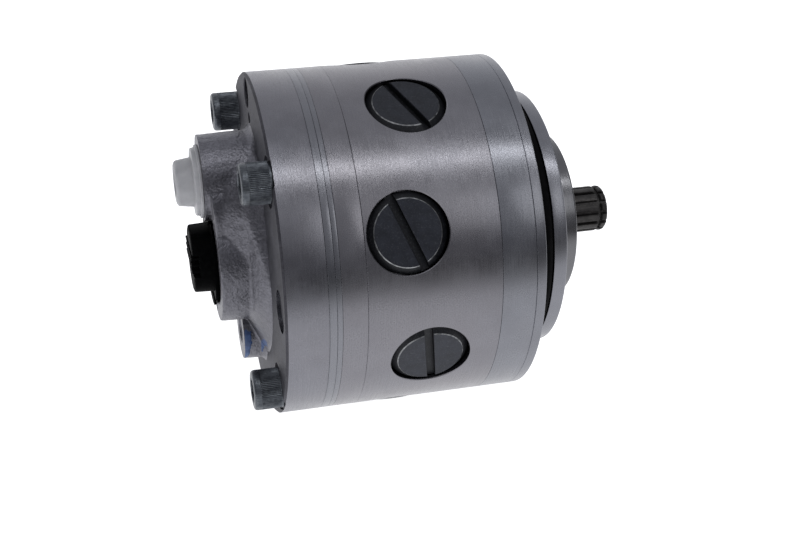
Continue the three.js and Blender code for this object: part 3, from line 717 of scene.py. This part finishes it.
def circlip():
    """Internal circlip with its two eyes beside the gap."""
    rear, front = 22.2, 23.4
    gap_half, eye_y, eye_z = 3.25, 5.0, -15.9

    def washer(name, inner_r, outer_r, bore_edge, segments):
        return turned(name, [(rear, inner_r, bore_edge), (rear, outer_r, 0.1), (front, outer_r, 0.1),
                             (front, inner_r, bore_edge)], segments)

    hoop = washer("seal_circlip_ring", 16.9, 19.5, 0.1, 160)
    combine(hoop, [block((rear - 2.4, front + 2.4), (-gap_half, gap_half), (-22, -14))])
    eyes = [moved(washer("eye", 0.8, 2.1, 0, 48), y=side * eye_y, z=eye_z) for side in (-1, 1)]
    return shade(joined("seal_circlip_ring", [hoop, *eyes]))


def pilot_ring():
    """Rubber ring, pressed slightly oval in the pilot's groove."""
    centre_x, centre_r = 7.35, PILOT_R - 1.3
    half_width, half_height = 2.55, 2.35
    section = [(centre_x + half_width * math.cos(a), centre_r + half_height * math.sin(a))
               for a in np.linspace(0, 2 * math.pi, 20, endpoint=False)]
    return shade(turned("pilot_rubber_ring", section, 224), 60)


finish(flange(), HOUSING, "flange_steel", ["front_flange"], COOL_STEEL)
finish(seal_carrier(), HOUSING, "flange_steel", ["seal_carrier"], CARRIER_STEEL)
finish(lip_seal(), HOUSING, "rubber", ["shaft_seal"], RUBBER)
finish(circlip(), HOUSING, "spring_steel", ["seal_circlip"], SPRING_STEEL)
finish(pilot_ring(), HOUSING, "rubber", ["pilot_o_ring"], RUBBER)


# ---------------------------------------------------------------- rear cover


def cover_disc():
    """The cover's turned disc: chamfered, hollow in front, with spot faces and small blind holes."""
    rear, front = COVER_REAR_X, COVER_FRONT_X
    bevel = 1.0
    hollow_r, hollow_x = 20, rear + 6
    spot_r, spot_depth = 11.0, 1.2
    disc = turned("rear_cover_disc", [
        (rear, 0), (rear, BODY_R - bevel, 0.1), (rear + bevel, BODY_R, 0.1), (front, BODY_R, 0.3),
        (front, hollow_r), (hollow_x, hollow_r), (hollow_x, 0),
    ], 256, steps=3)
    cutters = [around(rod(spot_r, rear - 2, rear + spot_depth, 96), BOLT_CIRCLE_R, angle)
               for angle in SCREW_ANGLES]
    for radius, depth, segments, chamfer, distance, angle in (
        (6.75, 8, 80, 0.4, 70, -7.5),
        (2.75, 8, 48, 0.3, 59.6, -3),
        (9.3, 1.6, 80, 0, 64.5, 93),
        (4.2, 9, 64, 0, BOLT_CIRCLE_R, 90),
    ):
        cutters.append(around(rod(radius, rear - 1, rear + depth, segments, chamfer), distance, angle))
    return shade(combine(disc, cutters))


def lofted(stations, lean=0.0, lean_from=0.0):
    """A casting's arm along X: each station (x, [(z, radius), ...]) is the hull of its circles.

    Above the height lean_from, the first station's face leans out by lean for each millimetre.
    """
    segments = 144
    points, rows = [], []
    for x, circles in stations:
        row = []
        for j in range(segments):
            angle = 2 * math.pi * (j + 0.5) / segments
            y, z = math.sin(angle), math.cos(angle)
            centre, radius = max(circles, key=lambda circle: circle[0] * z + circle[1])
            height = centre + radius * z
            out = lean * max(0.0, height - lean_from) if not rows else 0.0
            row.append(len(points))
            points.append((x - out, radius * y, height))
        rows.append(row)
    faces = []
    for low, high in zip(rows, rows[1:]):
        for j in range(segments):
            k = (j + 1) % segments
            faces.append([low[j], low[k], high[k], high[j]])
    for row in (rows[0], rows[-1]):
        faces += [[row[j], row[j + 1], row[-2 - j], row[-1 - j]] for j in range(segments // 2 - 1)]
    return link("part", mesh_from("part", points, faces, merge=False))


def flared_boss(port, tall_x, flare_x, foot_r, drop=0.0, hollow=1.0):
    """A port's boss from tall_x, nearly straight to flare_x, then out to its foot on the disc.

    hollow 1 gives the flare a quarter-round fillet, 0 a straight slope; drop lowers the foot.
    """
    draft = 0.5
    z, side = port["z"], port["boss_r"]
    stations = [(tall_x, [(z, side)]), (flare_x, [(z, side + draft)])]
    for t in (0.3, 0.55, 0.75, 0.9, 1.0):
        fillet = 1 - math.sqrt(1 - t * t)
        out = hollow * fillet + (1 - hollow) * t
        x = flare_x + (CASTING_FOOT_X - flare_x) * t
        stations.append((x, [(z - drop * out, side + draft + (foot_r - side - draft) * out)]))
    stations.append((CASTING_BASE_X, stations[-1][1]))
    return lofted(stations)


def casting():
    """As-cast port bosses joined by a web, blended together, then milled on their faces."""
    upper, centre, drain = PORTS["upper"], PORTS["centre"], PORTS["drain"]
    proud = 2.5
    cast_face_x = centre["face_x"] - 1.3
    foot_r, foot_drop = 41.0, 7.0
    gusset_z, web_r = 21.7, 23.4
    web = [(gusset_z, web_r), (centre["z"], web_r)]
    gusset_foot = [(gusset_z, 31.5), (centre["z"] - foot_drop, foot_r)]
    body = flared_boss(centre, cast_face_x, -120.0, foot_r, drop=foot_drop, hollow=0.5)
    others = [
        flared_boss(upper, upper["face_x"] - proud, -116.5, 23.0),
        flared_boss(drain, drain["face_x"] - proud, -115.5, 17.0),
        lofted([(cast_face_x, web), (CASTING_BASE_X, web)], lean=0.087, lean_from=20.0),
        lofted([(-129.5, web), (-120.6, [(gusset_z, 28.5), (centre["z"], 30.2)]),
                (CASTING_FOOT_X, gusset_foot), (CASTING_BASE_X, gusset_foot)]),
    ]
    combine(body, others, "UNION", "MANIFOLD")
    body.name = "rear_cover_casting"
    voxels = body.modifiers.new("voxels", "REMESH")
    voxels.mode = "VOXEL"
    voxels.voxel_size = 0.6 * MM
    soften = body.modifiers.new("soften", "SMOOTH")
    soften.factor, soften.iterations = 0.5, (5)
    for name, grain, height in (("sand", 2.4, 0.18), ("grit", 1.3, 0.10)):
        texture = bpy.data.textures.new(name, "CLOUDS")
        texture.noise_scale, texture.noise_depth = grain * MM, 0
        pitted = body.modifiers.new(name, "DISPLACE")
        pitted.texture, pitted.texture_coords = texture, "LOCAL"
        pitted.strength, pitted.mid_level = height * MM, 0.5
    apply_modifiers(body)

    def face_mill(port, reach):
        return moved(rod(reach, port["face_x"], port["face_x"] - 14, 128), z=port["z"])

    keep_centre_boss = moved(rod(centre["boss_r"] + 0.6, -150, -110, 128), z=centre["z"])
    drain_mill = combine(face_mill(drain, 19), [keep_centre_boss])
    cutters = [face_mill(upper, 24), face_mill(centre, 22), drain_mill]
    for port in PORTS.values():
        hole = rod(port["hole_r"], port["face_x"] - 1, port["face_x"] + port["depth"], 96, chamfer=0.7)
        cutters.append(moved(hole, z=port["z"]))
    witness_hole = rod(1.7, cast_face_x - 1, cast_face_x + 4, 32)
    cutters.append(moved(witness_hole, z=centre["z"] - 25.8))
    combine(body, cutters, solver="MANIFOLD")
    return shade(body, 35)


def drain_thread():
    """The drain port's threaded wall, as a sleeve with a helical ridge."""
    port, pitch, depth = PORTS["drain"], 1.3, 0.55
    crest_r, back_r = port["hole_r"] - 0.05, port["hole_r"] + 0.6
    stations = np.arange(port["face_x"] + 0.8, port["face_x"] + 11, pitch / 6)
    outline = [(x, crest_r) for x in stations]
    back = [(stations[-1], back_r), (stations[0], back_r)]

    def helix(x, radius, angle):
        if radius > port["hole_r"]:
            return radius
        phase = (x / pitch - angle / (2 * math.pi)) % 1
        return radius - depth * (1 - abs(2 * phase - 1))

    return shade(moved(turned("drain_port_thread", outline + back, 96, wobble=helix), z=port["z"]), 50)


def paint_coat(name, surface, x_range, z_range, lift, taper):
    """A thin ragged coat of marking paint, laid from -Y onto the surface and narrower at its foot."""
    wide, tall = 14, 36
    points, faces = [], []
    for i in range(wide + 1):
        for j in range(tall + 1):
            u, v = i / wide, j / tall
            ragged = 0.25 * math.sin(17 * v + 2) + 0.15 * math.sin(41 * v)
            reach = 1 - taper * v * v
            x = x_range[0] + (x_range[1] - x_range[0] + ragged) * u * reach
            z = z_range[0] + (z_range[1] - z_range[0]) * v + 0.6 * math.sin(7 * u) * (1 - v)
            hit, place, _, _ = surface.ray_cast(Vector((x, -100, z)) * MM, Vector((0, 1, 0)))
            height = place.y / MM if hit else points[-1][1]
            coat = lift * (1 - (2 * u - 1) ** 4) * (1 - (2 * v - 1) ** 4) - 0.05
            points.append((x, height - coat, z))
    top = len(points)
    points += [(x, y + 0.8, z) for x, y, z in points[:top]]
    step = tall + 1
    for i in range(wide):
        for j in range(tall):
            a = i * step + j
            faces.append([a, a + 1, a + step + 1, a + step])
            faces.append([top + a, top + a + step, top + a + step + 1, top + a + 1])
    rim = [i * step for i in range(wide + 1)] + [wide * step + j for j in range(1, step)]
    rim += [i * step + tall for i in range(wide - 1, -1, -1)] + list(range(tall - 1, 0, -1))
    for a, b in zip(rim, rim[1:] + rim[:1]):
        faces.append([a, b, top + b, top + a])
    return shade(link(name, mesh_from(name, points, faces, merge=False)))


disc = cover_disc()
behind_rim = (COVER_REAR_X + 1.7) * MM
on_rear_face = [int(face.normal.x < -0.3 and face.center.x < behind_rim) for face in disc.data.polygons]
finish(disc, HOUSING, "cast_cover", ["rear_cover"], FACE_STEEL, COVER_FACE)
disc.data.polygons.foreach_set("material_index", on_rear_face)

cast_body = casting()
boss_paint = paint_coat("boss_paint_mark", cast_body, (-123.1, -119.6), (-37.2, -56.7), 0.32, taper=0.9)
foot_smear = paint_coat("foot_paint_smear", cast_body, (-115.6, -114.0), (-37.0, -50.0), 0.32, taper=0.4)
finish(cast_body, HOUSING, "cast_cover", ["rear_cover"], CAST)
finish(drain_thread(), HOUSING, "cast_cover", [], FACE_STEEL)
finish(boss_paint, HOUSING, "cast_cover", [], BLUE)
finish(foot_smear, HOUSING, "cast_cover", [], BLUE)


# ---------------------------------------------------------------- cylinder plugs


def cylinder_plug(number):
    """Slotted screw plug with its height along X, and each face's zone: 0 top, 1 rubbed edge, 2 painted
    shade on the chamfer ring, sides and slot.
    """
    edge, drop, thread_r, foot = 0.35, 2.3, 17.2, 66.3
    body = turned(f"plug_body_{number}", [
        (foot, 0), (foot, thread_r), (PLUG_FACE - drop, thread_r, 0.2),
        (PLUG_FACE - edge, PLUG_FACE_R + 0.05), (PLUG_FACE, PLUG_FACE_R - edge), (PLUG_FACE, 0),
    ], 128, steps=2)
    half, depth, mouth, reach = 1.9, 3.2, 0.22, 22
    section = [(-half - mouth - 1, PLUG_FACE + 1), (-half, PLUG_FACE - mouth), (-half, PLUG_FACE - depth),
               (half, PLUG_FACE - depth), (half, PLUG_FACE - mouth), (half + mouth + 1, PLUG_FACE + 1)]
    points = [(h, w, end) for end in (-reach, reach) for w, h in section]
    count = len(section)
    faces = [list(range(count)), list(range(2 * count - 1, count - 1, -1))]
    faces += [[i, (i + 1) % count, count + (i + 1) % count, count + i] for i in range(count)]
    combine(body, [link("slot", mesh_from("slot", points, faces))])

    def zone(face):
        x, y, z = face.center / MM
        radius, slope = math.hypot(y, z), abs(face.normal.x)
        if x > PLUG_FACE - 0.01:
            return 0
        if x > PLUG_FACE - edge - 0.02 and radius > PLUG_FACE_R - edge - 0.05 and slope > 0.3:
            return 1
        if x > PLUG_FACE - mouth - 0.02 and 0.3 < slope < 0.95:
            return 1
        # The chamfer ring, the sides and the slot's walls and floor get the darker copy: painted shade.
        return 2

    return shade(body, 25), [zone(face) for face in body.data.polygons]


for cylinder in CYLINDERS:
    number = cylinder["number"]
    piece, zones = cylinder_plug(number)
    spin = Matrix.Rotation(math.radians(-cylinder["slot_turn"]), 4, "X")
    piece.data.transform(outwards(cylinder["x"], cylinder["angle"]) @ spin)
    finish(piece, HOUSING, "plug_steel", [f"cylinder_plug_{number}"], PLUG, EDGE, PLUG_PAINTED_SHADE)
    piece.data.polygons.foreach_set("material_index", zones)


# ---------------------------------------------------------------- cap screws


def cap_screw(number):
    """Socket-head screw with a rounded edge, a straight knurl, a hexagon socket and a drilled bottom."""
    base, top, shank_end = -111.8, -124.9, -9.0
    head_r, half_flats, shank_r = 9.0, 5.0, 5.8
    ridges, ridge_height = 72, 0.34

    def knurl(x, radius, angle):
        if radius < head_r - 0.01 or not top + 3.2 < x < base - 1.2:
            return radius
        return radius - ridge_height * (0.5 + 0.5 * math.cos(ridges * angle))

    head = turned("head", [
        (base, 0), (base, head_r, 0.6), (base - 1.1, head_r), (base - 1.5, head_r), (top + 3.6, head_r),
        (top + 3.1, head_r), (top, head_r, 1.7), (top, 0),
    ], 5 * ridges, wobble=knurl)
    corner = half_flats / math.cos(math.pi / 6)
    lip = top + 0.45
    socket = rod(corner, top - 1, top + 6.2, 6)
    drill = turned("drill", [(top + 6.0, 0), (top + 6.0, 4.6), (top + 7.6, 0)], 48)
    mouth = turned("mouth", [(top - 1, 0), (top - 1, corner + 1.5), (lip, corner - 0.35), (lip, 0)], 64)
    combine(head, [socket, drill, mouth])
    shank = rod(shank_r, base - 0.5, shank_end, 48)
    screw = joined(f"screw_body_{number}", [head, shank])
    return shade(screw, 28)


for number, angle in enumerate(SCREW_ANGLES, start=1):
    screw = cap_screw(number)
    screw.data.transform(Matrix.Rotation(math.radians(SOCKET_TURN_STEP * number), 4, "X"))
    finish(around(screw, BOLT_CIRCLE_R, angle), HOUSING, "screw_steel", [f"cap_screw_{number}"], SCREW)


# ---------------------------------------------------------------- shaft


def splined_shaft():
    """The shaft's splined end with its chamfer and snap-ring groove, and the journals behind it."""
    teeth, tip, root = 13, 10.95, 9.45
    start = 29.0
    first_tooth = math.radians(10)
    groove_rear, groove_front = 51.4, 52.9

    def tooth(x, radius, angle):
        if x < start:
            return radius
        phase = ((angle - first_tooth) * teeth / (2 * math.pi)) % 1
        across = abs(phase - 0.5) * 2
        profile = root + (tip - root) * min(1.0, max(0.0, (across - 0.22) / 0.15))
        return min(radius, profile)

    end = SHAFT_FRONT_X
    groove_floor = root - 0.25
    spline = [(start, tip), (groove_rear - 0.25, tip), (groove_rear, tip - 0.2),
              (groove_rear, groove_floor), (groove_front, groove_floor), (groove_front, tip - 0.5),
              (groove_front + 0.4, tip - 0.1), (end - 1.9, tip), (end - 0.9, tip - 0.3),
              (end - 0.3, tip - 1.0), (end, 9.0)]
    centre_drill = [(end, 3.4), (end - 1.6, 1.8), (end - 5, 1.7), (end - 6, 0)]
    journals = [(-90.5, 0), (-90.5, 9.8, 0.3), (-79.2, 9.8), (-79.2, 14, 0.3), (-17.3, 14, 0.3),
                (-17.3, 12.4), (27.5, 12.4, 0.4), (28.4, 11.0)]
    core = turned("crankshaft_body", journals + spline + centre_drill, 312, wobble=tooth)
    eccentric = turned("part", [(-67, 0), (-67, 18, 0.4), (-42, 18, 0.4), (-42, 0)], 160)
    moved(eccentric, z=ECCENTRICITY)
    weight = turned("part", [(-39.4, 0), (-39.4, 30, 0.6), (-25, 30, 0.6), (-25, 0)], 160)
    combine(weight, [block((-42, -22), (-40, 40), (-6, 34))])
    return shade(joined("crankshaft_body", [core, eccentric, weight]), 24)


finish(splined_shaft(), "shaft", "shaft_steel", ["crankshaft"], SHAFT)


# ---------------------------------------------------------------- transport plugs


def upper_plug():
    """White plug: thin collar in two steps and a tapered grip with a hollow end, hanging a little low."""
    port = PORTS["upper"]
    face = port["face_x"]
    inner_end, grip_end, hollow_x = -124, -148.2, -144.5
    sag = 1.6
    piece = turned("white_plug_body", [
        (inner_end, 0), (inner_end, 10.9, 0.6), (face - 0.1, 11.1), (face - 0.1, 16.5, 0.2),
        (face - 1.4, 16.4, 0.2), (face - 1.4, 15.4, 0.1), (face - 3.3, 15.1, 0.3), (face - 3.5, 11.2, 0.4),
        (grip_end + 0.8, 10.2, 0.9), (grip_end, 8.4, 0.5), (grip_end + 0.2, 6.2, 0.4),
        (hollow_x, 5.8, 0.6), (hollow_x, 0),
    ], 160)
    return shade(moved(piece, z=port["z"] - sag), 40)


def centre_plug():
    """Black plug: thin sharp collar and a grip with two flats, crossed by a ribbed slot."""
    port = PORTS["centre"]
    face = port["face_x"]
    inner_end, end = -122, -143.9
    collar_rear = face - 2.4
    flat, past, slot_depth, rib_half = 14.5, 20, 3, 0.45
    piece = turned("black_plug_body", [
        (inner_end, 0), (inner_end, 14.7, 0.6), (face - 0.1, 15.1), (face - 0.7, 20.8), (face - 2.7, 22.4),
        (face - 3.3, 22.4), (collar_rear, 16.0, 0.3), (end + 0.5, 15.6, 0.7), (end, 14.0, 0.3), (end, 0),
    ], 160)
    cutters = [block((end - 1, collar_rear), (-past, past), (side * flat, side * past)) for side in (-1, 1)]
    cutters.append(block((end - 1, end + slot_depth), (-past, past), (-3, 7)))
    combine(piece, cutters)
    ribs = [block((end - 0.6, end + slot_depth + 0.4), (-13.5, 13.5), (z - rib_half, z + rib_half))
            for z in (-1.0, 2.2, 5.4)]
    piece = joined("black_plug_body", [piece, *ribs])
    return shade(moved(piece, z=port["z"]), 40)


finish(upper_plug(), "upper_plug", "white_plastic", ["upper_port_plug"], WHITE)
finish(centre_plug(), "centre_plug", "black_plastic", ["centre_port_plug"], BLACK)


# ---------------------------------------------------------------- carried-over inner parts

INNER_FINISH = {"bearing_steel": BEARING_STEEL, "bronze": BRONZE, "rubber": RUBBER}
slots = {row["node"]: row["material_slot"] for row in frame["record"]["subparts"]}
for name, node in frame["nodes"].items():
    if slots[name] in INNER_FINISH:
        node.data.materials.clear()
        node.data.materials.append(INNER_FINISH[slots[name]])


# ---------------------------------------------------------------- stage, light and camera


def shiny_only(piece):
    """A studio card that shows in reflections and nowhere else."""
    piece.visible_camera = piece.visible_diffuse = piece.visible_shadow = False
    piece.visible_transmission = False


def flat_card(name, half, z, material):
    """A level square, in metres, centred on the origin."""
    mesh = bpy.data.meshes.new(name)
    corners = [(-half, -half, z), (half, -half, z), (half, half, z), (-half, half, z)]
    mesh.from_pydata(corners, [], [(0, 1, 2, 3)])
    card = link(name, mesh)
    card.data.materials.append(material)
    return card


def falloff_card():
    """The pale table as the steel mirrors it: it gets dimmer towards the photographer."""
    r = Recipe("table_falloff")
    split = r.add("ShaderNodeSeparateXYZ")
    r.wire(r.place, split.inputs["Vector"])
    ramp = r.add("ShaderNodeValToRGB")
    stops = [(0.0, 0.12), (0.55, 0.25), (0.74, 0.55), (0.86, 0.95), (1.0, 1.03)]
    far, near = -0.95, -0.12
    while len(ramp.color_ramp.elements) < len(stops):
        ramp.color_ramp.elements.new(0.5)
    for element, (place, value) in zip(ramp.color_ramp.elements, stops):
        element.position = place
        element.color = (value, value, value * 1.02, 1)
    r.wire(r.spread(split.outputs["Y"], 0, 1, far, near), ramp.inputs["Fac"])
    r.set(Base_Color=(0, 0, 0), Specular_IOR_Level=0.0)
    return r.set(Emission_Color=ramp.outputs["Color"], Emission_Strength=1.0)


def stage():
    """The floor that the camera sees, and just below it the one that the steel mirrors."""
    gap, half = 0.0005, 6.0
    floor_z = cad_low.z - gap
    floor = flat_card("floor", half, floor_z, FLOOR)
    floor.visible_glossy = False
    shiny_only(flat_card("table_mirrored", half, floor_z - gap, falloff_card()))


def softbox(name, place, aim, size, radiance):
    """An area light of one radiance, whatever its size. The pale floor's is about 1."""
    lamp = bpy.data.lights.new(name, "AREA")
    lamp.shape, lamp.size, lamp.size_y = "RECTANGLE", *size
    lamp.energy = radiance * math.pi * size[0] * size[1]
    holder = bpy.data.objects.new(name, lamp)
    holder.location = place
    holder.rotation_euler = (Vector(aim) - Vector(place)).to_track_quat("-Z", "Y").to_euler()
    bpy.context.scene.collection.objects.link(holder)


def room():
    """A grey room: dark at eye level in front of the object and at its ends, bright behind it."""
    world = bpy.data.worlds.new("studio")
    world.use_nodes = True
    tree = world.node_tree

    def ramp(source, low, high):
        node = tree.nodes.new("ShaderNodeMapRange")
        node.interpolation_type = "SMOOTHSTEP"
        node.inputs["From Min"].default_value = low
        node.inputs["From Max"].default_value = high
        tree.links.new(source, node.inputs["Value"])
        return node.outputs["Result"]

    def mix(share, a, b):
        node = tree.nodes.new("ShaderNodeMix")
        node.data_type = "RGBA"
        sockets = [socket for socket in node.inputs if socket.enabled]
        for socket, value in zip(sockets, (share, a, b)):
            if isinstance(value, tuple):
                socket.default_value = (*value, 1.0)
            else:
                tree.links.new(value, socket)
        return next(socket for socket in node.outputs if socket.enabled)

    place = tree.nodes.new("ShaderNodeTexCoord")
    split = tree.nodes.new("ShaderNodeSeparateXYZ")
    tree.links.new(place.outputs["Generated"], split.inputs["Vector"])
    sideways = tree.nodes.new("ShaderNodeMath")
    sideways.operation = "ABSOLUTE"
    tree.links.new(split.outputs["X"], sideways.inputs[0])
    overhead, end = (0.45, 0.455, 0.48), (0.13, 0.13, 0.14)
    in_front = mix(ramp(split.outputs["Z"], -0.1, 0.85), (0.15, 0.15, 0.165), overhead)
    behind = mix(ramp(split.outputs["Z"], 0.2, 0.95), (0.88, 0.885, 0.91), overhead)
    around_it = mix(ramp(split.outputs["Y"], -0.6, 0.6), in_front, behind)
    reflected = mix(ramp(sideways.outputs[0], 0.55, 0.85), around_it, end)
    rays = tree.nodes.new("ShaderNodeLightPath")
    seen = mix(rays.outputs["Is Camera Ray"], reflected, (1.0, 1.0, 1.0))
    tree.links.new(seen, tree.nodes["Background"].inputs["Color"])
    bpy.context.scene.world = world


def lights():
    """The room's own light, a long strip overhead and a soft window to the right."""
    room()
    softbox("strip_overhead", (0.05, -0.58, 1.30), (0.05, -0.055, 0.055), (1.9, 0.15), 3.9)
    softbox("right_window", (0.49, -1.01, 0.65), (-0.045, -0.055, 0.055), (0.5, 0.5), 0.8)


def camera():
    """The photograph's viewpoint, a little behind the motor's middle and above it."""
    lens = bpy.data.cameras.new("camera")
    lens.lens, lens.sensor_width = 57.55, 36.0
    lens.clip_start, lens.clip_end = 0.01, 50
    eye = bpy.data.objects.new("camera", lens)
    right, up = Vector((0.97, -0.2431, -0.0061)), Vector((0.109, 0.4121, 0.9047))
    right.normalize()
    back = right.cross(up).normalized()
    up = back.cross(right)
    place = Matrix((right, up, back)).transposed().to_4x4()
    place.translation = (-0.1785, -0.5389, 0.2416)
    eye.matrix_world = place
    bpy.context.scene.collection.objects.link(eye)
    bpy.context.scene.camera = eye


stage()
lights()
camera()
bpy.context.scene.view_settings.view_transform = "Standard"
